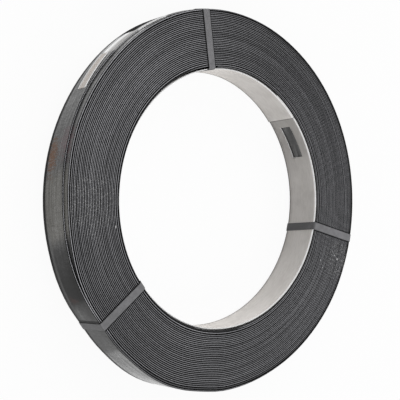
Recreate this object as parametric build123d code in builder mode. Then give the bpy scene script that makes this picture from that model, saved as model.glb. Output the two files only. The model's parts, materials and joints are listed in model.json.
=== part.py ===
from build123d import *
import os
from math import cos, radians, sin

os.makedirs("parts", exist_ok=True)

# A coil of painted steel strap lies on its lower end, with its axis along Z.
# The origin is the middle of the bore. Angles run round the axis from +X towards +Y.

# Strap
strap_width = 31.75
strap_thickness = 1.27
turn_gap = 0.065
full_turns = 33
edge_round = 0.3
groove_depth = 0.45

# Tail of the strap, its last stretch, cut on a long slant and lying on the outside
tail_end_angle = 95.0
tail_slant_angle = 213.0
tail_root_angle = 220.0
tail_setback = 11.0

# Bore and its board liner
bore_diameter = 203.2
liner_thickness = 0.8
liner_clearance = 0.2
liner_inset = 0.6
seam_angle = 41.6
seam_gap = 0.5
window_angle = 29.0
window_length = 28.5
window_width = 11.3
window_skew_angle = -3.3

# Tie bands
tie_top_angle = 97.9
tie_right_angle = -13.0
tie_left_angle = 217.7
tie_width = 6.35
tie_thickness = 0.3
tie_clearance = 0.15
tie_bend = 0.4

# Paper slip on the tail
label_start_angle = 133.0
label_end_angle = 147.0
label_width = 11.5
label_thickness = 0.15
label_clearance = 0.2
label_margin = 4.0

# Sizes that follow
turn_pitch = strap_thickness + turn_gap
half_width = strap_width / 2
bore_radius = bore_diameter / 2
liner_outer_radius = bore_radius + liner_thickness
coil_inner_radius = liner_outer_radius + liner_clearance
coil_outer_radius = coil_inner_radius + full_turns * turn_pitch
tail_outer_radius = coil_outer_radius + turn_pitch
tail_sweep = tail_root_angle - tail_end_angle
slant_mid_angle = (tail_slant_angle + tail_end_angle) / 2


def outward(angle):
    """Direction away from the axis at this angle."""
    return Vector(cos(radians(angle)), sin(radians(angle)), 0)


def along_turn(angle):
    """Direction in which the angle grows."""
    return Vector(-sin(radians(angle)), cos(radians(angle)), 0)


def section_plane(angle):
    """Plane through the axis: x runs outwards at this angle and y up the axis."""
    return Plane(origin=(0, 0, 0), x_dir=outward(angle), z_dir=-along_turn(angle))


def tangent_plane(angle, skew_angle):
    """Plane through the axis that faces outwards at this angle, turned by the skew in itself."""
    return Plane(origin=(0, 0, 0), x_dir=along_turn(angle), z_dir=outward(angle)).rotated((0, 0, skew_angle))


def turn_edge(inner_radius):
    """Upper edge of one turn: the groove on its inner side, then its flat between two eased corners."""
    return [
        (inner_radius, half_width - groove_depth),
        (inner_radius + edge_round, half_width),
        (inner_radius + turn_pitch - edge_round, half_width),
    ]


def coil_outline(first_radius, turns):
    """Section of turns that lie on each other: their upper edges outwards, then their lower edges back."""
    upper = [point for turn in range(turns) for point in turn_edge(first_radius + turn * turn_pitch)]
    upper.append((first_radius + turns * turn_pitch, half_width - groove_depth))
    return upper + [(radius, -height) for radius, height in reversed(upper)]


def tail_edge(angle, setback):
    """Point of the tail's upper edge at this angle, this far below the coil's upper end."""
    return outward(angle) * tail_outer_radius + Vector(0, 0, half_width - setback)


# The strap: its tail, cut by the slanted plane through both ends of the slant, then the full turns
slant_start = tail_edge(tail_slant_angle, 0)
slant_chord = tail_edge(tail_end_angle, tail_setback) - slant_start
slant_plane = Plane(origin=slant_start, x_dir=slant_chord, z_dir=outward(slant_mid_angle).cross(slant_chord))

with BuildPart() as strap_coil:
    with BuildSketch(section_plane(tail_end_angle)):
        with BuildLine():
            Polyline(*coil_outline(coil_outer_radius, 1), close=True)
        make_face()
    revolve(axis=Axis.Z, revolution_arc=tail_sweep)
    split(bisect_by=slant_plane, keep=Keep.TOP)
    with BuildSketch(section_plane(tail_end_angle)):
        with BuildLine():
            Polyline(*coil_outline(coil_inner_radius, full_turns), close=True)
        make_face()
    revolve(axis=Axis.Z)
strap_coil.part.label = "strap_coil"
export_step(strap_coil.part, "parts/strap_coil.step")

# The board liner: a strip bent round inside the bore, with its two ends at the seam and a window through it
seam_arc = seam_gap / bore_radius / radians(1)

with BuildPart() as core_liner:
    with BuildSketch(section_plane(seam_angle)):
        with Locations((bore_radius + liner_thickness / 2, 0)):
            Rectangle(liner_thickness, strap_width - 2 * liner_inset)
    revolve(axis=Axis.Z, revolution_arc=360 - seam_arc)
    with BuildSketch(tangent_plane(window_angle, window_skew_angle)):
        Rectangle(window_length, window_width)
    extrude(amount=coil_inner_radius, mode=Mode.SUBTRACT)
core_liner.part.label = "core_liner"
export_step(core_liner.part, "parts/core_liner.step")


def make_tie(angle):
    """One band, bent into a closed loop round the coil's section, with parallel sides."""
    on_tail = tail_end_angle < angle < tail_root_angle
    rim_radius = tail_outer_radius if on_tail else coil_outer_radius
    loop_depth = rim_radius - bore_radius + 2 * tie_clearance
    loop_width = strap_width + 2 * tie_clearance
    wall = 2 * tie_thickness
    arc = 2 * tie_width / bore_radius / radians(1)
    with BuildPart() as tie:
        with BuildSketch(section_plane(angle - arc / 2)):
            with Locations(((rim_radius + bore_radius) / 2, 0)):
                RectangleRounded(loop_depth + wall, loop_width + wall, tie_bend + tie_thickness)
                RectangleRounded(loop_depth, loop_width, tie_bend, mode=Mode.SUBTRACT)
        revolve(axis=Axis.Z, revolution_arc=arc)
        with BuildSketch(section_plane(angle)):
            with Locations(((rim_radius + bore_radius) / 2, 0)):
                Rectangle(2 * loop_depth, 2 * loop_width)
        extrude(amount=tie_width / 2, both=True, mode=Mode.INTERSECT)
    return tie.part


tie_places = {
    "tie_band_top": tie_top_angle,
    "tie_band_right": tie_right_angle,
    "tie_band_left": tie_left_angle,
}
for tie_name, tie_angle in tie_places.items():
    tie_part = make_tie(tie_angle)
    tie_part.label = tie_name
    export_step(tie_part, f"parts/{tie_name}.step")

# The paper slip, on the tail's outside, between two planes that follow the slant of its upper edge
with BuildPart() as rim_label:
    with BuildSketch(section_plane(label_start_angle)):
        with Locations((tail_outer_radius + label_clearance + label_thickness / 2, 0)):
            Rectangle(label_thickness, strap_width)
    revolve(axis=Axis.Z, revolution_arc=label_end_angle - label_start_angle)
    split(bisect_by=slant_plane.offset(label_margin), keep=Keep.TOP)
    split(bisect_by=slant_plane.offset(label_margin + label_width), keep=Keep.BOTTOM)
rim_label.part.label = "rim_label"
export_step(rim_label.part, "parts/rim_label.step")
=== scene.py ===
import json
from math import cos, pi, radians, sin, tau

import bmesh
import bpy
from mathutils import Matrix, Vector, noise


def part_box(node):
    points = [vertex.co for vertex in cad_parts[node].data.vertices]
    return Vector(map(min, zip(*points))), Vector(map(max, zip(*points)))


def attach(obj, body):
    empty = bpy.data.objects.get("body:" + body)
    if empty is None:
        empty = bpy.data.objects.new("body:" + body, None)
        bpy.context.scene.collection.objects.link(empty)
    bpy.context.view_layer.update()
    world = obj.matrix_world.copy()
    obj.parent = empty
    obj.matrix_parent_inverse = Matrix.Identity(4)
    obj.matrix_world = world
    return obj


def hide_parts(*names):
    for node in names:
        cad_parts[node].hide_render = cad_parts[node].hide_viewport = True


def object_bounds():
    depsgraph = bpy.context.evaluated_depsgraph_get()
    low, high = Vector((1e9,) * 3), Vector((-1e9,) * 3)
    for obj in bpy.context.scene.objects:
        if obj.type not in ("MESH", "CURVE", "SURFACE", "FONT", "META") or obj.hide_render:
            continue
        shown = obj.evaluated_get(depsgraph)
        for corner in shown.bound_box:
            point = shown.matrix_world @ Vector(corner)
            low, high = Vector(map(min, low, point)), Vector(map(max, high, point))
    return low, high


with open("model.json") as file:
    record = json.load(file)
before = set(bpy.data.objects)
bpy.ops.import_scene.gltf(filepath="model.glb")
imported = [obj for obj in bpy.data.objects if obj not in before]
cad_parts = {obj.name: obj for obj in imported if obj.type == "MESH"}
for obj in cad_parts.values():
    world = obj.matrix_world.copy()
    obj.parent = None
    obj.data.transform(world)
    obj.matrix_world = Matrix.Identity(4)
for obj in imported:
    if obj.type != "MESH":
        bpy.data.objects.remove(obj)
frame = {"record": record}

# The coil lies on its lower end: its axis is Z, and angles run from +X towards +Y.
cad_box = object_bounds()
mounts = {mount["name"]: mount for mount in frame["record"]["mounts"]}
coil_low, coil_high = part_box("strap_coil")
liner_low, liner_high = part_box("core_liner")

MM = 0.001

# Strap
STRAP_WIDTH = coil_high.z - coil_low.z
STRAP_THICKNESS = 1.27 * MM
STRAP_TURNS = 33
TURN_STEPS = 120
MERGE_DISTANCE = 0.001 * MM
EDGE_EASE = 0.45 * MM
WANDER = 0.3 * MM
RIM_RADIUS = coil_high.x
COIL_BORE = 102.3 * MM
TAIL_END = radians(95)
RIM_ANGLE = radians(270)
FIRST_TURNS_GAP = 0.35 * MM
LAST_TURN_GAP = 0.4 * MM

# Where the winding is out of round: places of (angle, reach, height)
SLACK = 0.15 * MM
SLACK_PLACES = [
    (radians(254), radians(40), 2.6 * MM),
    (radians(243), radians(16), 1.0 * MM),
    (radians(261), radians(9), -0.6 * MM),
    (radians(219), radians(8), -0.6 * MM),
    (radians(205), radians(12), 0.4 * MM),
    (radians(84), radians(30), 0.9 * MM),
    (radians(145), radians(38), -0.9 * MM),
    (radians(328), radians(24), 0.6 * MM),
]
BORE_PLACES = [
    (radians(80), radians(60), 1.2 * MM),
    (radians(168), radians(42), -0.5 * MM),
    (radians(288), radians(60), -1.4 * MM),
]
# How much wider the coil is at its upper end than at its lower end, in steps of (angle, height)
FLARES = [
    (radians(76), 0),
    (radians(110), 2.2 * MM),
    (radians(128), 2.6 * MM),
    (radians(156), 2.8 * MM),
    (radians(182), 0.5 * MM),
    (radians(204), 2.0 * MM),
    (radians(220), 1.6 * MM),
    (radians(242), 0),
]
# How far the tail's upper edge lies below the coil's upper end, in steps of (angle, depth)
TAIL_SETBACKS = [
    (radians(95), 9.0 * MM),
    (radians(121), 8.0 * MM),
    (radians(147), 7.9 * MM),
    (radians(165), 5.8 * MM),
    (radians(190), 5.0 * MM),
    (radians(213), 0),
]

# Liner
BORE_RADIUS = mounts["core_bore"]["dims"]["r_mm"] * MM
LINER_WIDTH = liner_high.z - liner_low.z
LINER_THICKNESS = 0.8 * MM
LINER_RADIUS = BORE_RADIUS - 0.5 * MM
LINER_DROP = 0.1 * MM
LINER_SINK = 2.5 * MM
LINER_SEAM = radians(41.6)
SEAM_SLANT = 0.072
SEAM_SHEAR = SEAM_SLANT / BORE_RADIUS
LINER_LAP = 26 * MM
LINER_RAMP = 60 * MM
WINDOW_ANGLE = radians(29)
WINDOW_LENGTH = 28.5 * MM
WINDOW_WIDTH = 11.3 * MM
WINDOW_SKEW = radians(-3.3)
# Levels of the board round the bore, as (degrees, level): painted light and shade round the bore
LINER_LIGHT_LEVELS = [(0, 0.7), (30, 0.8), (60, 0.8), (75, 0.84), (90, 0.92), (180, 0.83), (270, 1.0), (300, 0.92),
                (330, 0.75), (345, 0.71), (360, 0.7)]

# Ties
TIE_ANGLES = {
    "tie_band_top": radians(97.9),
    "tie_band_right": radians(-13),
    "tie_band_left": radians(217.7),
}
# How far each tie leans to the side: at its upper bend in the bore, at its lower one and at the lower rim
TIE_SKEWS = {
    "tie_band_top": (0, 0, 0),
    "tie_band_right": (1.3 * MM, -0.6 * MM, 0),
    "tie_band_left": (0, 0, 3.5 * MM),
}
TIE_WIDTH = 6.35 * MM
TIE_THICKNESS = 0.3 * MM
TIE_STANDOFF = 0.15 * MM
TIE_RIM_STANDOFF = 0.06 * MM
TIE_BEND = 0.6 * MM
TIE_UPPER_BENDS = {
    "tie_band_top": 2.2 * MM,
    "tie_band_right": 0.8 * MM,
    "tie_band_left": 4.0 * MM,
}
TIE_HOLD = radians(14)

# Paper slip
SLIP_START = radians(133.3)
SLIP_END = radians(147.2)
SLIP_WIDTH = 11.5 * MM
SLIP_TOP_START = 1.7 * MM
SLIP_TOP_END = 5.6 * MM
SLIP_THICKNESS = 0.12 * MM
SLIP_MIDDLE = (SLIP_START + SLIP_END) / 2 - TAIL_END
SLIP_REACH = (SLIP_END - SLIP_START) / 2

# Levels of the slit edges along the strap, as (start, end, level), in turns from its inner end; their darker
# and lighter stretches are painted shade and painted highlight on the first and last turns
EDGE_LIGHT_AND_SHADE_STRETCHES = [
    (-1, 0.48, 0.9),
    (0.48, 0.97, 0.12),
    (0.97, 2, 1.4),
    (STRAP_TURNS - 1.95, STRAP_TURNS - 1.38, 0.45),
    (STRAP_TURNS - 1.36, STRAP_TURNS - 1, 1.5),
    (STRAP_TURNS - 1, STRAP_TURNS - 0.5, 0.2),
    (STRAP_TURNS - 0.5, STRAP_TURNS - 0.34, 0.8),
    (STRAP_TURNS - 0.34, STRAP_TURNS + 1, 1.9),
]
# Levels round the coil, as (degrees, level): half those of the slit edges, then the rim's tone and its
# gloss. The edge levels are painted light and shade round the coil, and the rim's tones are black paint with
# painted light and shade and a painted highlight at 124 to 127 degrees
EDGE_HALF_LIGHT_LEVELS = [(0, 0.5), (60, 0.44), (100, 0.5), (135, 0.62), (180, 0.53), (215, 0.48), (270, 0.46),
                    (320, 0.55), (360, 0.5)]
RIM_PAINT_AND_LIGHT_TONES = [(0, 0.05), (115, 0.03), (122, 0.04), (124, 0.28), (127, 0.27), (136, 0.05), (158, 0.06),
             (174, 0.07), (178, 0.12), (188, 0.11), (194, 0.03), (202, 0.015), (208, 0.008), (211, 0.02),
             (228, 0.02), (230, 0.04), (282, 0.05), (360, 0.05)]
RIM_GLOSSES = [(0, 0.8), (88, 0.8), (97, 0.15), (121.5, 0.1), (124, 1.0), (132, 0.9), (140, 0.62),
               (160, 0.62), (176, 0.75), (190, 0.8), (195, 0.3), (202, 0.1), (209.8, 0.04), (211.5, 0.38),
               (228.2, 0.36), (229.7, 0.9), (236, 0.85), (242, 0.78), (256, 1.0), (282, 0.8), (360, 0.8)]
RIM_SHEAR = radians(0.12) / MM
# Warm and pale places of the rim, as shares of a turn, heights between which the paint turns pale, and
# heights of the painted shade along the lower edge
WARM_MIDDLE = 0.506
PALE_MIDDLE = 0.553
PALE_HEIGHTS = (-8 * MM, -9.5 * MM)
LOW_EDGE_SHADE_HEIGHTS = (-11.4 * MM, -12.6 * MM)
# Painted shadow beside the ties on the slit edges, and a painted shadow line along the left tie on the rim
TIE_SHADE = 4.4 * MM
TIE_SHADE_SOFT = 0.5 * MM
TIE_SHADOW_LINE = radians(217.2)
TIE_SHADOW_LINE_WIDTH = 0.02
TIE_SHADOW_LINE_SHEAR = radians(0.042) / MM
# Tail's end, as angles from it: the white slit edge (a painted highlight) starts, the black stops, the bare
# patch stops
SLIT_GLARE_START = radians(15)
BLACK_END = radians(27)
BARE_GLARE_END = radians(38)
# Heights of the bare patch, bare metal with a painted highlight fading upwards, and the rise of the painted
# shadow line along the slip
BARE_GLARE_LOW = -8.5 * MM
BARE_GLARE_LOW_AT_BLACK = 2 * MM
BARE_GLARE_FADE_HEIGHTS = (-5 * MM, 3 * MM)
SLIP_SHADOW_RISE = 0.9 * MM

# Stains in the paint of the rim: (middle, reaches, strength, colour)
STAINS = {
    "brown": ((-144.3 * MM, 30.8 * MM, -7.5 * MM), (20 * MM, 18 * MM, 10 * MM), 0.95,
              (0.19, 0.105, 0.066, 1)),
    "red": ((-129 * MM, -72.5 * MM, -2 * MM), (7 * MM, 4 * MM, 10 * MM), 0.5, (0.07, 0.035, 0.03, 1)),
    "purple": ((-142.5 * MM, 39.5 * MM, 8 * MM), (20 * MM, 16 * MM, 12 * MM), 0.7, (0.13, 0.075, 0.085, 1)),
}
# Scuffed places of the upper end: (middle, reaches)
SCUFFS = [
    ((-126 * MM, -2 * MM, 16 * MM), (20 * MM, 22 * MM, 20 * MM)),
    ((128 * MM, -50 * MM, 16 * MM), (12 * MM, 14 * MM, 20 * MM)),
]
# Chips in the paint of the upper end: (x, y, reach along x, reach along y)
CHIPS = [
    (-105.6 * MM, -19.4 * MM, 0.5 * MM, 0.9 * MM),
    (127.0 * MM, -50.8 * MM, 0.6 * MM, 0.8 * MM),
    (123.6 * MM, -47.3 * MM, 0.4 * MM, 0.5 * MM),
    (106.5 * MM, -50.8 * MM, 0.3 * MM, 0.6 * MM),
    (109.0 * MM, -57.0 * MM, 0.3 * MM, 0.4 * MM),
]

# Camera, fitted to the ellipses of the coil's edges
IMAGE_SIDE_PIXELS = 400
FOCAL_PIXELS = 1100
SENSOR_MM = 36
CAMERA_AZIMUTH = radians(-40.8)
CAMERA_DISTANCE = 0.8713
CAMERA_PAN = radians(-0.659)

# Backdrop: the share of white glow that the floor shows, and the world's light on the coil
FLOOR_GLOW = 0.93
WORLD_LIGHT = 0.28

TURN_PITCH = (RIM_RADIUS - STRAP_THICKNESS - COIL_BORE) / (STRAP_TURNS - (RIM_ANGLE - TAIL_END) / tau)
HALF_WIDTH = STRAP_WIDTH / 2
UP = Vector((0, 0, 1))
SHARP_ANGLE = radians(20)


def outward(angle):
    """Direction away from the axis at this angle."""
    return Vector((cos(angle), sin(angle), 0))


def apart(first, second):
    """Angle between two directions, from 0 to half a turn."""
    return abs((first - second + pi) % tau - pi)


def smooth_step(low, high, value):
    """0 below low, 1 above high, and a smooth rise between them."""
    share = min(max((value - low) / (high - low), 0), 1)
    return share * share * (3 - 2 * share)


def bulge(places, angle):
    """Sum of soft humps of (angle, reach, height)."""
    return sum(height * cos(pi / 2 * min(apart(angle, place) / reach, 1)) ** 2
               for place, reach, height in places)


def stepped(steps, angle):
    """A height that passes smoothly through steps of (angle, height), and is 0 outside them."""
    for (start, low), (end, high) in zip(steps, steps[1:]):
        if start <= angle < end:
            return low + (high - low) * smooth_step(start, end, angle)
    return 0


def rim_bulge(angle, height):
    """How far the turns stand out at the rim, where they are wound loosely."""
    flare = stepped(FLARES, angle % tau) * (height + HALF_WIDTH) / STRAP_WIDTH
    return SLACK + bulge(SLACK_PLACES, angle) + flare


def rim_radius_at(angle, height):
    """Outside of the wound strap: it winds inwards as the angle grows from the tail's end."""
    return RIM_RADIUS + TURN_PITCH * (RIM_ANGLE - angle) / tau + rim_bulge(angle, height) + LAST_TURN_GAP


class Value:
    """One output socket of a material. Sums and products of values add its Math nodes."""

    def __init__(self, finish, socket):
        self.finish = finish
        self.socket = socket

    def __add__(self, other):
        return self.finish.math("ADD", self, other)

    def __sub__(self, other):
        return self.finish.math("SUBTRACT", self, other)

    def __rsub__(self, other):
        return self.finish.math("SUBTRACT", other, self)

    def __mul__(self, other):
        return self.finish.math("MULTIPLY", self, other)

    def __abs__(self):
        return self.finish.math("ABSOLUTE", self)

    __radd__ = __add__
    __rmul__ = __mul__


class Finish:
    """A procedural material around one Principled shader."""

    def __init__(self, name):
        self.material = bpy.data.materials.new(name)
        self.material.use_nodes = True
        self.tree = self.material.node_tree
        self.shader = self.tree.nodes["Principled BSDF"]

    def node(self, kind, settings=None, sockets=None, output=0):
        """Adds a node: its settings first, then the values or links of its sockets."""
        added = self.tree.nodes.new(kind)
        for name, setting in (settings or {}).items():
            if name == "stops":
                set_stops(added.color_ramp, setting)
            else:
                setattr(added, name, setting)
        for key, value in (sockets or {}).items():
            self.feed(added.inputs[key], value)
        return Value(self, added.outputs[output])

    def feed(self, socket, value):
        """Links a value to a socket, or sets a plain number or colour on it."""
        if isinstance(value, Value):
            self.tree.links.new(value.socket, socket)
        else:
            socket.default_value = value

    def shade(self, **sockets):
        """Feeds the shader's own sockets, their names written with underscores."""
        for name, value in sockets.items():
            self.feed(self.shader.inputs[name.replace("_", " ")], value)

    def coordinates(self, output="Object"):
        """Texture coordinates of the piece."""
        return self.node("ShaderNodeTexCoord", output=output)

    def axis(self, index, output="Object"):
        """One of the three coordinates of the piece, or of its normal."""
        return self.node("ShaderNodeSeparateXYZ", None, {"Vector": self.coordinates(output)}, output=index)

    def attribute(self, name):
        """A number that is stored on the points of the piece."""
        return self.node("ShaderNodeAttribute", {"attribute_name": name}, output=2)

    def math(self, operation, *terms):
        """Adds a Math node on values and numbers."""
        return self.node("ShaderNodeMath", {"operation": operation}, dict(enumerate(terms)))

    def point(self, x, y, z):
        """A place in a pattern, from values and numbers."""
        return self.node("ShaderNodeCombineXYZ", None, {"X": x, "Y": y, "Z": z})

    def round_angle(self):
        """Angle round the axis, from 0 to a full turn."""
        return self.math("ARCTAN2", -1 * self.axis(1), -1 * self.axis(0)) + pi

    def stretched(self, scale):
        """Object coordinates, scaled along each axis."""
        return self.node("ShaderNodeMapping", None, {"Vector": self.coordinates(), "Scale": scale})

    def noise(self, vector, scale, detail=3, roughness=0.55):
        """Soft noise from 0 to 1."""
        sockets = {"Vector": vector, "Scale": scale, "Detail": detail, "Roughness": roughness}
        return self.node("ShaderNodeTexNoise", {"noise_dimensions": "3D"}, sockets)

    def ramp(self, value, stops):
        """Grey or colour that follows a value through stops of (place, colour)."""
        return self.node("ShaderNodeValToRGB", {"stops": stops}, {"Fac": value})

    def round_levels(self, share, levels):
        """A level that follows a share of the full turn through stops of (degrees, level)."""
        return self.ramp(share, [(degrees / 360, grey(level)) for degrees, level in levels])

    def range(self, value, low, high, to_low=0.0, to_high=1.0):
        """A value mapped from one range to another, smoothly and held at both ends."""
        sockets = {"Value": value, "From Min": low, "From Max": high, "To Min": to_low, "To Max": to_high}
        return self.node("ShaderNodeMapRange", {"interpolation_type": "SMOOTHSTEP"}, sockets)

    def line(self, value, start, start_level, end, end_level):
        """A straight line through two points of a value."""
        slope = (end_level - start_level) / (end - start)
        return (value - start) * slope + start_level

    def stretch(self, value, start, end, level, soft=0.02):
        """A level between two places of a value, and 1 outside them."""
        inside = self.range(value, start, start + soft) * self.range(value, end, end - soft)
        return 1 + inside * (level - 1)

    def mix(self, share, first, second):
        """A colour between two colours."""
        settings = {"data_type": "RGBA", "clamp_factor": True}
        return self.node("ShaderNodeMix", settings, {0: share, 6: first, 7: second}, output=2)

    def tint(self, colour, level):
        """A colour made darker or lighter by a value."""
        grey_level = self.node("ShaderNodeCombineColor", None, {0: level, 1: level, 2: level})
        settings = {"data_type": "RGBA", "blend_type": "MULTIPLY", "clamp_factor": True}
        return self.node("ShaderNodeMix", settings, {0: 1.0, 6: colour, 7: grey_level}, output=2)

    def spot(self, middle, reaches, ragged=0):
        """A soft mask round a place, its border made ragged by a value."""
        scale = [1 / reach for reach in reaches]
        shift = [-centre / reach for centre, reach in zip(middle, reaches)]
        local = self.node("ShaderNodeMapping", None,
                          {"Vector": self.coordinates(), "Location": shift, "Scale": scale})
        distance = self.node("ShaderNodeVectorMath", {"operation": "LENGTH"}, {0: local}, output=1)
        return self.range(distance + ragged, 1.5, 0.7)

    def specks(self, scale, size, rarity):
        """Sparse bright dots: one in some of the cells."""
        cells = {"Vector": self.coordinates(), "Scale": scale}
        distance = self.node("ShaderNodeTexVoronoi", None, cells)
        cell_colour = self.node("ShaderNodeTexVoronoi", None, cells, output=1)
        chance = self.node("ShaderNodeSeparateColor", None, {0: cell_colour})
        return self.range(distance, size, size / 2) * self.range(chance, rarity, rarity + 0.01)

    def bump(self, height, strength, distance):
        """A normal that follows a height in metres."""
        sockets = {"Height": height, "Strength": strength, "Distance": distance}
        return self.node("ShaderNodeBump", None, sockets)


def set_stops(color_ramp, stops):
    """Gives a colour ramp these (place, colour) stops."""
    while len(color_ramp.elements) < len(stops):
        color_ramp.elements.new(0.5)
    for element, (place, colour) in zip(color_ramp.elements, stops):
        element.position = place
        element.color = colour


def grey(level, warmth=0.0):
    """An opaque grey, a little warmer or cooler."""
    return (level * (1 + warmth), level, level * (1 - warmth), 1)


def slit_edge_colour(paint, winding, round_share):
    """Rubbed grey of the slit edges: each turn has its own tone, and all carry a painted shadow beside the
    ties.
    """
    turn_tone = paint.noise(paint.point(winding * 4.3, 0.4, 0.7), 1.0, detail=3, roughness=0.7)
    grain = paint.noise(paint.coordinates(), 900, detail=2)
    level = paint.range(turn_tone, 0.3, 0.7, 0.19, 0.32) * paint.range(grain, 0.2, 0.8, 0.75, 1.25)
    # Painted shade and painted highlight on the edges of the first and last turns
    for start, end, stretch_level in EDGE_LIGHT_AND_SHADE_STRETCHES:
        level = level * paint.stretch(winding, start, end, stretch_level)
    # Painted light and shade round the coil on the slit edges
    level = level * 2 * paint.round_levels(round_share, EDGE_HALF_LIGHT_LEVELS)
    # Painted shadow beside each tie
    for name, angle in TIE_ANGLES.items():
        out = paint.axis(0) * cos(angle) + paint.axis(1) * sin(angle)
        lean = paint.line(out, BORE_RADIUS, TIE_SKEWS[name][0], RIM_RADIUS, 0)
        sideways = paint.axis(1) * cos(angle) - paint.axis(0) * sin(angle) - lean
        tie_shadow = paint.range(abs(sideways), TIE_SHADE, TIE_SHADE - TIE_SHADE_SOFT)
        level = level * (1 - 0.85 * tie_shadow * paint.range(out, 0, BORE_RADIUS))
    return paint.node("ShaderNodeCombineColor", None, {0: level, 1: level, 2: level * 1.05})


def strap_finish():
    """Black strapping paint: satin on the flat of the strap, rubbed paler on its slit edges."""
    paint = Finish("strap_black_paint")
    black, bright, glare_white = grey(0.008), grey(0.75), grey(0.95)
    place = paint.coordinates()
    z = paint.axis(2)
    winding = paint.attribute("winding")
    round_share = paint.round_angle() * (1 / tau)
    sheared = round_share + z * (RIM_SHEAR / tau)
    slope = abs(paint.axis(2, "Normal"))
    edge = paint.range(slope, 0.955, 0.985)
    groove = paint.range(slope, 0.15, 0.35)

    # Flat of the strap: rubbed along its length, pale or stained in places, with painted shade along its
    # lower edge
    streaks = paint.noise(paint.point(round_share * 24, z * 900, 0.3), 1.0, detail=4, roughness=0.6)
    clouds = paint.noise(paint.stretched((22, 22, 45)), 1.0, detail=4)
    drawn = paint.noise(paint.point(round_share * 300, z * 60, 0.8), 1.0, detail=4, roughness=0.7)
    mottle = paint.noise(place, 700, detail=2, roughness=0.7)
    rubbed = paint.range(streaks * 0.6 + clouds * 0.4, 0.3, 0.7, 0.62, 1.32)
    rubbed = rubbed * paint.range(drawn, 0.3, 0.7, 0.93, 1.07) * paint.range(mottle, 0.3, 0.7, 0.86, 1.14)
    # Rim colour: black paint with painted light and shade round the coil
    flat_colour = paint.tint(paint.round_levels(sheared, RIM_PAINT_AND_LIGHT_TONES), rubbed)
    warm = paint.range(abs(sheared - WARM_MIDDLE), 0.032, 0.02)
    flat_colour = paint.mix(warm * 0.7, flat_colour, (0.155, 0.148, 0.13, 1))
    pale = paint.range(z, *PALE_HEIGHTS) * paint.range(abs(sheared - PALE_MIDDLE), 0.036, 0.025)
    flat_colour = paint.mix(pale * 0.8, flat_colour, grey(0.11))
    ragged = paint.range(drawn + mottle, 0.6, 1.4, 0, 1.2)
    stained = {}
    for name, (middle, reaches, strength, stain) in STAINS.items():
        stained[name] = paint.spot(middle, reaches, ragged)
        flat_colour = paint.mix(stained[name] * strength, flat_colour, stain)
    # Painted shade along the rim's lower edge
    low_edge_shade = paint.range(z, *LOW_EDGE_SHADE_HEIGHTS)
    flat_colour = paint.mix(low_edge_shade * 0.9, flat_colour, black)

    # Painted shadow line along the left tie's upper side
    tie_shadow_angle = paint.round_angle() + z * TIE_SHADOW_LINE_SHEAR
    tie_shadow_line = paint.stretch(tie_shadow_angle, TIE_SHADOW_LINE - TIE_SHADOW_LINE_WIDTH, TIE_SHADOW_LINE, 0.05, 0.004)
    flat_colour = paint.tint(flat_colour, tie_shadow_line)

    # Tail's end: black, with a bare metal patch next to the slip that carries a painted highlight, and a
    # painted shadow line along the slip's top
    from_end = (STRAP_TURNS - winding) * tau
    black_end = paint.range(from_end, BLACK_END + 0.01, BLACK_END)
    bare_glare_low = paint.range(from_end, BLACK_END + 0.01, BLACK_END, BARE_GLARE_LOW, BARE_GLARE_LOW_AT_BLACK)
    bare_glare_end = paint.range(from_end, BARE_GLARE_END + 0.01, BARE_GLARE_END - 0.01)
    bare_glare_end = bare_glare_end * paint.range(z - bare_glare_low, 0, 1.5 * MM)
    slip_top = paint.line(from_end, SLIP_START - TAIL_END, SLIP_TOP_START, SLIP_END - TAIL_END, SLIP_TOP_END)
    # Painted shadow line along the slip's top
    slip_shadow_line = paint.range(abs(z - slip_top - SLIP_SHADOW_RISE), 1.2 * MM, 0.8 * MM)
    slip_shadow_line = slip_shadow_line * paint.range(abs(from_end - SLIP_MIDDLE), SLIP_REACH, SLIP_REACH - 0.02)
    flat_colour = paint.mix(black_end * 0.9 + slip_shadow_line * 0.85, flat_colour, black)
    # Painted highlight on the bare patch: white low down, fading to grey above
    bare_glare_colour = paint.mix(paint.range(z, *BARE_GLARE_FADE_HEIGHTS), glare_white, grey(0.36, 0.02))
    flat_colour = paint.mix(bare_glare_end, flat_colour, bare_glare_colour)

    # Grooves, black with painted shade between the turns, and slit edges, white for a stretch near the
    # tail's end as a painted highlight, with specks, scuffs and chips
    # Painted shade: the grooves between the turns are darker than the black paint
    colour = paint.mix(groove * (1 - 0.8 * bare_glare_end), flat_colour, grey(0.004))
    colour = paint.mix(edge, colour, slit_edge_colour(paint, winding, round_share))
    # Painted highlight: the grooves near the tail's end turn white
    slit_glare = paint.range(from_end, SLIT_GLARE_START, SLIT_GLARE_START + 0.02) * black_end
    colour = paint.mix(slit_glare * groove, colour, glare_white)
    specks = paint.specks(130, 0.13, 0.95)
    scuffed = sum(paint.spot(middle, reaches) for middle, reaches in SCUFFS)
    scuffs = paint.range(paint.noise(place, 1100, detail=1), 0.52, 0.66) * scuffed
    colour = paint.mix((specks + scuffs * 0.55) * edge, colour, bright)
    chips = sum(paint.spot((x, y, HALF_WIDTH), (reach_x, reach_y, HALF_WIDTH / 2))
                for x, y, reach_x, reach_y in CHIPS)
    paint.shade(Base_Color=paint.mix(chips * groove * 0.65, colour, bright))

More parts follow.
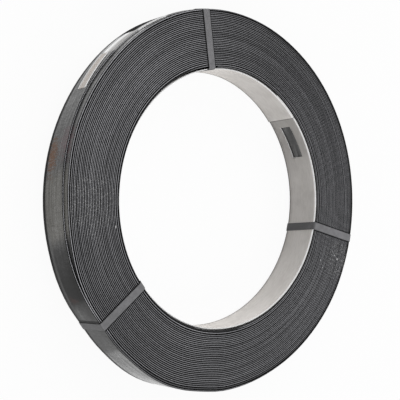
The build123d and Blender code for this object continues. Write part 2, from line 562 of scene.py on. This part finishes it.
    # Shine: a coat of gloss on the rim where its paint is whole, and bare metal
    roughness = paint.range(streaks, 0.3, 0.75, 0.28, 0.42) + black_end * (1 - bare_glare_end) * 0.5
    paint.shade(Roughness=roughness, IOR=1.45, Specular_IOR_Level=0.06)
    paint.shade(Metallic=bare_glare_end * (1 - groove) * 0.9)
    covered = (1 - groove) * (1 - black_end) * (1 - bare_glare_end) * (1 - slip_shadow_line) * (1 - low_edge_shade) * tie_shadow_line
    worn = rubbed * rubbed * (1 - stained["brown"] * 0.8)
    gloss = paint.round_levels(sheared, RIM_GLOSSES)
    paint.shade(Coat_Weight=gloss * worn * covered, Coat_Roughness=0.2, Coat_IOR=1.5)
    paint.shade(Normal=paint.bump(paint.noise(place, 500, detail=3), 0.2, 0.08 * MM))
    return paint.material


def board_finish():
    """Grey liner board: matt, with faint fibres, painted shade and a painted shadow line beside its seam,
    painted shade along its lower edge and a painted highlight along its upper edge.
    """
    board = Finish("liner_grey_board")
    fibres = board.noise(board.stretched((160, 160, 700)), 1.0, detail=4, roughness=0.65)
    mottle = board.noise(board.coordinates(), 60, detail=3)
    tone = board.range(fibres + mottle, 0.7, 1.3)
    colour = board.ramp(tone, [(0.0, (0.6, 0.575, 0.55, 1)), (1.0, (0.7, 0.675, 0.65, 1))])
    angle = board.round_angle() - board.axis(2) * SEAM_SHEAR
    # Painted light and shade round the bore
    level = board.round_levels(angle * (1 / tau), LINER_LIGHT_LEVELS) * 1.2
    # Painted shade below the seam, and a painted shadow line at it
    shade = board.range(angle, LINER_SEAM - 0.6, LINER_SEAM - 0.2)
    level = level * (1 - 0.36 * shade * board.range(angle, LINER_SEAM, LINER_SEAM - 0.005))
    level = level * board.stretch(angle, LINER_SEAM - 0.012, LINER_SEAM, 0.5, 0.003)
    across = board.attribute("across")
    # Painted shade along the lower edge
    level = level * board.range(across, 0.05, 0.02, 1.0, 0.55)
    # Painted highlight along the upper edge
    upper_edge_highlight = board.range(across, 0.96, 0.974)
    board.shade(Base_Color=board.mix(upper_edge_highlight, board.tint(colour, level), grey(0.95)))
    board.shade(Roughness=0.85, Normal=board.bump(fibres, 0.3, 0.15 * MM))
    return board.material


def board_edge_finish():
    """Cut edge of the board, paler than its faces, with a painted shadow at the seam."""
    edge = Finish("liner_cut_edge")
    fibres = edge.noise(edge.coordinates(), 700, detail=4, roughness=0.7)
    colour = edge.ramp(fibres, [(0.3, grey(0.9, 0.01)), (0.7, grey(0.98))])
    angle = edge.round_angle() - edge.axis(2) * SEAM_SHEAR
    # Painted shadow on the cut edge at the seam
    seam_shadow = edge.stretch(angle, LINER_SEAM - 0.01, LINER_SEAM + 0.003, 0.25, 0.002)
    edge.shade(Base_Color=edge.tint(colour, seam_shadow), Roughness=0.9)
    return edge.material


def tie_finish():
    """Grey coating on the tie bands: rubbed, with painted shade on the sides, at the bends and along the
    borders.
    """
    coat = Finish("tie_grey_coat")
    grain = coat.noise(coat.coordinates(), 260, detail=3)
    rubs = coat.noise(coat.coordinates(), 35, detail=2)
    tone = coat.range(grain * 0.5 + rubs * 0.5, 0.35, 0.65)
    colour = coat.ramp(tone, [(0.0, (0.12, 0.119, 0.124, 1)), (1.0, (0.18, 0.178, 0.186, 1))])
    flat_place = coat.stretched((1, 1, 0))
    radius = coat.node("ShaderNodeVectorMath", {"operation": "LENGTH"}, {0: flat_place}, output=1)
    # Painted shade: the sides in the bore and on the rim, the bends and the borders are darker
    on_side = coat.range(abs(coat.axis(2, "Normal")), 0.8, 0.4)
    bore_side_shade = coat.range(coat.axis(2), 5 * MM, 14 * MM, 0.66, 0.95)
    at_rim = coat.range(radius, BORE_RADIUS, RIM_RADIUS)
    side_shade = bore_side_shade + at_rim * (0.55 - bore_side_shade)
    bend_shade = coat.range(radius, BORE_RADIUS + 0.2 * MM, BORE_RADIUS + 1.0 * MM, 0.55, 1.0)
    border_shade = coat.range(abs(coat.attribute("across")), 0.44, 0.48, 1.0, 0.5)
    level = (1 - on_side * (1 - side_shade)) * bend_shade * border_shade
    coat.shade(Base_Color=coat.tint(colour, level))
    coat.shade(Roughness=coat.range(rubs, 0.3, 0.7, 0.45, 0.6))
    coat.shade(Normal=coat.bump(grain, 0.2, 0.06 * MM))
    return coat.material


def slip_finish():
    """Blank paper, beige with a faint mottle and paler margins."""
    paper = Finish("slip_beige_paper")
    fibres = paper.noise(paper.coordinates(), 420, detail=4, roughness=0.65)
    beige = paper.ramp(fibres, [(0.3, (0.6, 0.55, 0.51, 1)), (0.7, (0.74, 0.69, 0.65, 1))])
    margin = paper.range(abs(paper.attribute("across") - 0.5), 0.31, 0.36)
    paper.shade(Base_Color=paper.mix(margin, beige, grey(0.95)))
    paper.shade(Roughness=0.8, Normal=paper.bump(fibres, 0.2, 0.08 * MM))
    return paper.material


def add_piece(name, shape, finishes, node):
    """Makes the object of a finished shape, in place, and lets it stand for a CAD node."""
    mesh = bpy.data.meshes.new(name)
    shape.to_mesh(mesh)
    shape.free()
    for finish in finishes:
        mesh.materials.append(finish)
    mesh.shade_smooth()
    mesh.set_sharp_from_angle(angle=SHARP_ANGLE)
    piece = bpy.data.objects.new(name, mesh)
    bpy.context.scene.collection.objects.link(piece)
    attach(piece, "root")
    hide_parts(node)
    return piece


def held_by_ties(angle):
    """0 under a tie band, where the turns are pressed flush, and 1 away from the bands."""
    return smooth_step(0, TIE_HOLD, min(apart(angle, tie) for tie in TIE_ANGLES.values()))


def turn_wander(winding):
    """How far a turn lies out of line along the axis, this many turns from the strap's inner end."""
    slow = noise.noise(Vector((winding * 1.3, 3.7, 0.2)))
    quick = noise.noise(Vector((winding * 4.1, 9.1, 5.4)))
    return WANDER * (slow + 0.4 * quick) * held_by_ties(TAIL_END - winding * tau)


def wind_turn(shape, turn):
    """Adds one turn of the strap: its section, spun round the axis while it moves outwards by one pitch."""
    inner = COIL_BORE + turn * TURN_PITCH
    outer = inner + STRAP_THICKNESS
    one = bmesh.new()
    corners = [(inner, -HALF_WIDTH), (outer, -HALF_WIDTH), (outer, HALF_WIDTH), (inner, HALF_WIDTH)]
    ring = [one.verts.new((radius, 0, height)) for radius, height in corners]
    sides = [one.edges.new((ring[k - 1], ring[k])) for k in range(len(ring))]
    step_out = (TURN_PITCH / TURN_STEPS, 0, 0)
    bmesh.ops.spin(one, geom=ring + sides, axis=(0, 0, -1), dvec=step_out, angle=tau, steps=TURN_STEPS)
    bmesh.ops.rotate(one, verts=one.verts, matrix=Matrix.Rotation(TAIL_END, 3, "Z"))
    layer = one.verts.layers.float.new("winding")
    for index, vert in enumerate(one.verts):
        winding = turn + index // len(ring) / TURN_STEPS
        vert[layer] = winding
        if vert.co.z > 0:
            vert.co.z -= stepped(TAIL_SETBACKS, TAIL_END + (STRAP_TURNS - winding) * tau)
        vert.co.z += turn_wander(winding)
        angle = TAIL_END - winding * tau
        depth_share = (vert.co.xy.length - COIL_BORE) / (RIM_RADIUS - COIL_BORE)
        loose = LAST_TURN_GAP * smooth_step(STRAP_TURNS - 1.6, STRAP_TURNS - 1.3, winding)
        loose -= FIRST_TURNS_GAP * smooth_step(2.1, 1.8, winding)
        push = rim_bulge(angle, vert.co.z) * depth_share + bulge(BORE_PLACES, angle) * (1 - depth_share)
        vert.co += outward(angle) * (push + loose)
    whole = bpy.data.meshes.new("turn")
    one.to_mesh(whole)
    one.free()
    shape.from_mesh(whole)
    bpy.data.meshes.remove(whole)


def make_strap(finish):
    """The strap, wound from the bore outwards, with its long edges eased."""
    shape = bmesh.new()
    shape.verts.layers.float.new("winding")
    for turn in range(STRAP_TURNS):
        wind_turn(shape, turn)
    bmesh.ops.remove_doubles(shape, verts=shape.verts, dist=MERGE_DISTANCE)
    bmesh.ops.holes_fill(shape, edges=[edge for edge in shape.edges if edge.is_boundary])
    bmesh.ops.recalc_face_normals(shape, faces=shape.faces)
    long_edges = [edge for edge in shape.edges if edge.calc_face_angle(0) > pi / 4]
    bmesh.ops.bevel(shape, geom=long_edges, offset=EDGE_EASE, offset_type="OFFSET", affect="EDGES",
                    segments=2, profile=0.5, material=-1)
    add_piece("wound_strap", shape, [finish], "strap_coil")


def face_inwards(shape):
    """Turns the faces of a bent strip towards the axis."""
    bmesh.ops.recalc_face_normals(shape, faces=shape.faces)
    shape.faces.ensure_lookup_table()
    first = shape.faces[0]
    if first.normal.dot(first.calc_center_median()) > 0:
        bmesh.ops.reverse_faces(shape, faces=shape.faces)


def make_liner(board, cut_edge):
    """The liner: a strip cut flat with its window, then bent round the bore, one end lapped on the other."""
    length = tau * BORE_RADIUS + LINER_LAP
    window_place = LINER_LAP + (LINER_SEAM - WINDOW_ANGLE) * BORE_RADIUS
    shape = bmesh.new()
    bmesh.ops.create_grid(shape, x_segments=180, y_segments=8, size=0.5)
    bmesh.ops.scale(shape, verts=shape.verts, vec=(length, LINER_WIDTH, 1))
    bmesh.ops.translate(shape, verts=shape.verts, vec=(length / 2, 0, 0))
    middle = Vector((window_place, 0, 0))
    along = Vector((cos(WINDOW_SKEW), -sin(WINDOW_SKEW), 0))
    across = Vector((sin(WINDOW_SKEW), cos(WINDOW_SKEW), 0))
    for direction, reach in ((along, WINDOW_LENGTH / 2), (across, WINDOW_WIDTH / 2)):
        for side in (-1, 1):
            cut_geometry = shape.verts[:] + shape.edges[:] + shape.faces[:]
            bmesh.ops.bisect_plane(shape, geom=cut_geometry, plane_co=middle + direction * reach * side,
                                   plane_no=direction)
    punched = [face for face in shape.faces
               if abs((face.calc_center_median() - middle).dot(along)) < WINDOW_LENGTH / 2
               and abs((face.calc_center_median() - middle).dot(across)) < WINDOW_WIDTH / 2]
    bmesh.ops.delete(shape, geom=punched, context="FACES")
    share_across = shape.verts.layers.float.new("across")
    for vert in shape.verts:
        vert[share_across] = vert.co.y / LINER_WIDTH + 0.5
        slant = SEAM_SHEAR * vert.co.y * smooth_step(length - LINER_LAP, length, vert.co.x)
        angle = LINER_SEAM + (LINER_LAP - vert.co.x) / BORE_RADIUS + slant
        lapped = smooth_step(length - LINER_LAP - LINER_RAMP, length - LINER_LAP, vert.co.x)
        radius = LINER_RADIUS - lapped * LINER_THICKNESS + bulge(BORE_PLACES, angle)
        sunk = LINER_SINK * (0.5 - cos(angle) / 2) * (vert.co.y / LINER_WIDTH + 0.5)
        vert.co = outward(angle) * radius + UP * (vert.co.y - LINER_DROP - sunk)
    face_inwards(shape)
    piece = add_piece("bore_liner", shape, [board, cut_edge], "core_liner")
    wall = piece.modifiers.new("wall", "SOLIDIFY")
    wall.thickness = LINER_THICKNESS
    wall.offset = -1
    wall.material_offset_rim = 1


def make_tie(name, angle, finish):
    """One tie band: a loop round the coil's section with bent corners, given its width and thickness."""
    inner = LINER_RADIUS - TIE_STANDOFF + bulge(BORE_PLACES, angle)
    half = HALF_WIDTH + TIE_STANDOFF
    setback = stepped(TAIL_SETBACKS, angle % tau)
    heights = [-half, HALF_WIDTH - setback, half] if setback else [-half, half]
    rim = [(rim_radius_at(angle % tau, height) + TIE_RIM_STANDOFF, height) for height in heights]
    if setback:
        rim[-1] = (rim[-1][0] - TURN_PITCH - LAST_TURN_GAP, half)
    shape = bmesh.new()
    corners = [(inner, -half), *rim, (inner, half)]
    side = -TIE_WIDTH / 2
    loop = shape.faces.new([shape.verts.new((radius, side, height)) for radius, height in corners])
    others = loop.verts[:-1]
    for bends, offset in ((loop.verts[-1:], TIE_UPPER_BENDS[name]), (others, TIE_BEND)):
        bmesh.ops.bevel(shape, geom=bends, offset=offset, offset_type="OFFSET", affect="VERTICES",
                        segments=5, profile=0.5, material=-1)
    bmesh.ops.delete(shape, geom=shape.faces[:], context="FACES_ONLY")
    band = bmesh.ops.extrude_edge_only(shape, edges=shape.edges[:])
    moved = [item for item in band["geom"] if isinstance(item, bmesh.types.BMVert)]
    bmesh.ops.translate(shape, verts=moved, vec=(0, TIE_WIDTH, 0))
    bmesh.ops.recalc_face_normals(shape, faces=shape.faces)
    bmesh.ops.solidify(shape, geom=shape.faces[:], thickness=-TIE_THICKNESS)
    bmesh.ops.recalc_face_normals(shape, faces=shape.faces)
    rims = [edge for edge in shape.edges if edge.calc_face_angle(0) > pi / 3]
    bmesh.ops.bevel(shape, geom=rims, offset=TIE_THICKNESS / 4, offset_type="OFFSET", affect="EDGES",
                    segments=2, profile=0.5, material=-1)
    upper_skew, bore_skew, rim_skew = TIE_SKEWS[name]
    across = shape.verts.layers.float.new("across")
    for vert in shape.verts:
        vert[across] = vert.co.y / TIE_WIDTH
        out = (vert.co.x - inner) / (rim[0][0] - inner)
        low = (half - vert.co.z) / (2 * half)
        vert.co.y += upper_skew * (1 - out) * (1 - low) + (bore_skew * (1 - out) + rim_skew * out) * low
    bmesh.ops.rotate(shape, verts=shape.verts, matrix=Matrix.Rotation(angle, 3, "Z"))
    add_piece(name.replace("band", "strip"), shape, [finish], name)


def make_slip(finish):
    """The paper slip: a flat strip, laid round the tail along its upper edge."""
    shape = bmesh.new()
    bmesh.ops.create_grid(shape, x_segments=40, y_segments=6, size=0.5)
    bmesh.ops.translate(shape, verts=shape.verts, vec=(0.5, 0.5, 0))
    across = shape.verts.layers.float.new("across")
    for vert in shape.verts:
        angle = SLIP_START + vert.co.x * (SLIP_END - SLIP_START)
        top = SLIP_TOP_START + vert.co.x * (SLIP_TOP_END - SLIP_TOP_START)
        height = top - vert.co.y * SLIP_WIDTH
        vert[across] = vert.co.y
        vert.co = outward(angle) * (rim_radius_at(angle, height) + SLIP_THICKNESS / 2) + UP * height
    bmesh.ops.recalc_face_normals(shape, faces=shape.faces)
    piece = add_piece("paper_slip", shape, [finish], "rim_label")
    wall = piece.modifiers.new("wall", "SOLIDIFY")
    wall.thickness = SLIP_THICKNESS
    wall.offset = 0


def seen_rays(tree):
    """A socket that is 1 or more for the rays that see the backdrop: camera, glossy and transmission."""
    rays = tree.nodes.new("ShaderNodeLightPath")
    total = rays.outputs["Is Camera Ray"]
    for kind in ("Is Glossy Ray", "Is Transmission Ray"):
        added = tree.nodes.new("ShaderNodeMath")
        tree.links.new(total, added.inputs[0])
        tree.links.new(rays.outputs[kind], added.inputs[1])
        total = added.outputs[0]
    return total


def make_floor():
    """A pale floor that the camera and reflections see as white, with the coil's soft shadow on it."""
    shape = bmesh.new()
    bmesh.ops.create_grid(shape, x_segments=1, y_segments=1, size=6)
    bmesh.ops.translate(shape, verts=shape.verts, vec=(0, 0, cad_box[0].z))
    mesh = bpy.data.meshes.new("floor")
    shape.to_mesh(mesh)
    shape.free()
    white = Finish("floor_white")
    white.shade(Base_Color=grey(0.85), Roughness=0.9)
    glow = white.node("ShaderNodeEmission", None, {"Color": grey(1.0), "Strength": 1.0})
    output = white.tree.nodes["Material Output"]
    seen = white.range(Value(white, seen_rays(white.tree)), 0, 1, 0, FLOOR_GLOW)
    mixed = white.node("ShaderNodeMixShader", None,
                       {0: seen, 1: Value(white, white.shader.outputs[0]), 2: glow})
    white.feed(output.inputs["Surface"], mixed)
    mesh.materials.append(white.material)
    floor_piece = bpy.data.objects.new("floor", mesh)
    bpy.context.scene.collection.objects.link(floor_piece)


def make_world():
    """White to the camera and in reflections, a plain grey light on everything else."""
    world = bpy.data.worlds.new("studio")
    bpy.context.scene.world = world
    world.use_nodes = True
    tree = world.node_tree
    strength = tree.nodes.new("ShaderNodeMapRange")
    tree.links.new(seen_rays(tree), strength.inputs["Value"])
    strength.inputs["To Min"].default_value = WORLD_LIGHT
    strength.inputs["To Max"].default_value = 1.0
    background = tree.nodes["Background"]
    background.inputs["Color"].default_value = grey(1.0)
    tree.links.new(strength.outputs[0], background.inputs["Strength"])


def add_light(name, place, size, watts):
    """A soft rectangular lamp that faces the middle of the coil."""
    lamp = bpy.data.lights.new(name, "AREA")
    lamp.shape = "RECTANGLE"
    lamp.size, lamp.size_y = size
    lamp.energy = watts
    holder = bpy.data.objects.new(name, lamp)
    holder.location = place
    holder.rotation_euler = (-Vector(place)).to_track_quat("-Z", "Y").to_euler()
    bpy.context.scene.collection.objects.link(holder)


def add_camera():
    """The camera, which looks down on the coil from its left, with +Y up in the picture."""
    lens = bpy.data.cameras.new("camera")
    lens.sensor_width = SENSOR_MM
    lens.lens = FOCAL_PIXELS / IMAGE_SIDE_PIXELS * SENSOR_MM
    lens.clip_start = 0.01
    back = Vector((sin(CAMERA_AZIMUTH), 0, cos(CAMERA_AZIMUTH)))
    turned = Matrix.Rotation(CAMERA_PAN, 3, "Y").inverted() @ back
    picture_up = Vector((0, 1, 0))
    holder = bpy.data.objects.new("camera", lens)
    holder.location = back * CAMERA_DISTANCE
    holder.rotation_euler = Matrix((picture_up.cross(turned), picture_up, turned)).transposed().to_euler()
    bpy.context.scene.collection.objects.link(holder)
    bpy.context.scene.camera = holder


make_strap(strap_finish())
make_liner(board_finish(), board_edge_finish())
tie_coat = tie_finish()
for tie_name, tie_angle in TIE_ANGLES.items():
    make_tie(tie_name, tie_angle, tie_coat)
make_slip(slip_finish())

make_floor()
make_world()
add_light("upper_softbox", place=(0.4, 1.7, 1.1), size=(3.0, 1.6), watts=26)
add_light("lower_softbox", place=(0.4, -1.7, 1.1), size=(3.0, 1.6), watts=26)
add_light("top_softbox", place=(-0.3, 0, 2.0), size=(1.6, 1.6), watts=9)
add_camera()
bpy.context.scene.view_settings.view_transform = "Standard"
